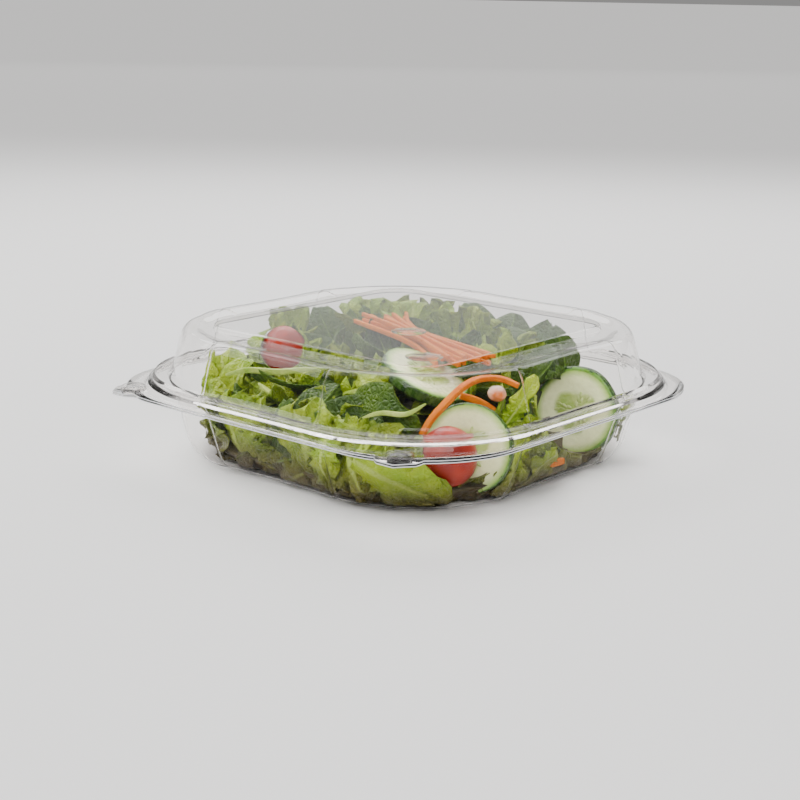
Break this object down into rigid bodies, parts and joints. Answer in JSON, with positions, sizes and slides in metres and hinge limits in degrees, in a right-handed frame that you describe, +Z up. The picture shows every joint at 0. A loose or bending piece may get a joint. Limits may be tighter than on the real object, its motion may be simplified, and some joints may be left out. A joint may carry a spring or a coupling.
{
  "type": "takeaway salad box",
  "caption": "Clear hinged-lid square takeaway box with fluted corners, filled with leafy salad, cherry tomatoes, cucumber slices and carrot strips.",
  "frame": {"origin": "middle of the tray's underside, on the surface that the box stands on", "axes": "+Z up; the box opens at -Y, where the two snap buttons are, and its living hinge runs along +Y"},
  "size_m": [0.224, 0.2234, 0.064],
  "materials": {
    "clear_plastic": "clear glossy thermoformed sheet, slightly hazy",
    "lettuce": "fresh curly lettuce and young spinach leaves, softly glossy",
    "tomato": "glossy ripe cherry tomato skin",
    "cucumber": "moist pale cut face with dark green skin",
    "carrot": "moist cut carrot",
    "root_vegetable": "pale peeled root vegetable, wet and shiny"
  },
  "bodies": {
    "base": {"tray": "clear_plastic", "salad": "lettuce", "tomato_front": "tomato", "tomato_left": "tomato", "cucumber_right": "cucumber", "cucumber_front": "cucumber", "cucumber_top": "cucumber", "carrot_bundle": "carrot", "carrot_arch": "carrot", "carrot_short": "carrot", "carrot_low": "carrot", "root_chunk": "root_vegetable"},
    "lid": {"lid": "clear_plastic"}
  },
  "joints": [
    {"name": "lid_hinge", "type": "hinge", "parent": "base", "child": "lid", "pos_m": [0, 0.1104, 0.03325], "axis": [-1, 0, 0], "range_deg": [0, 180]}
  ]
}
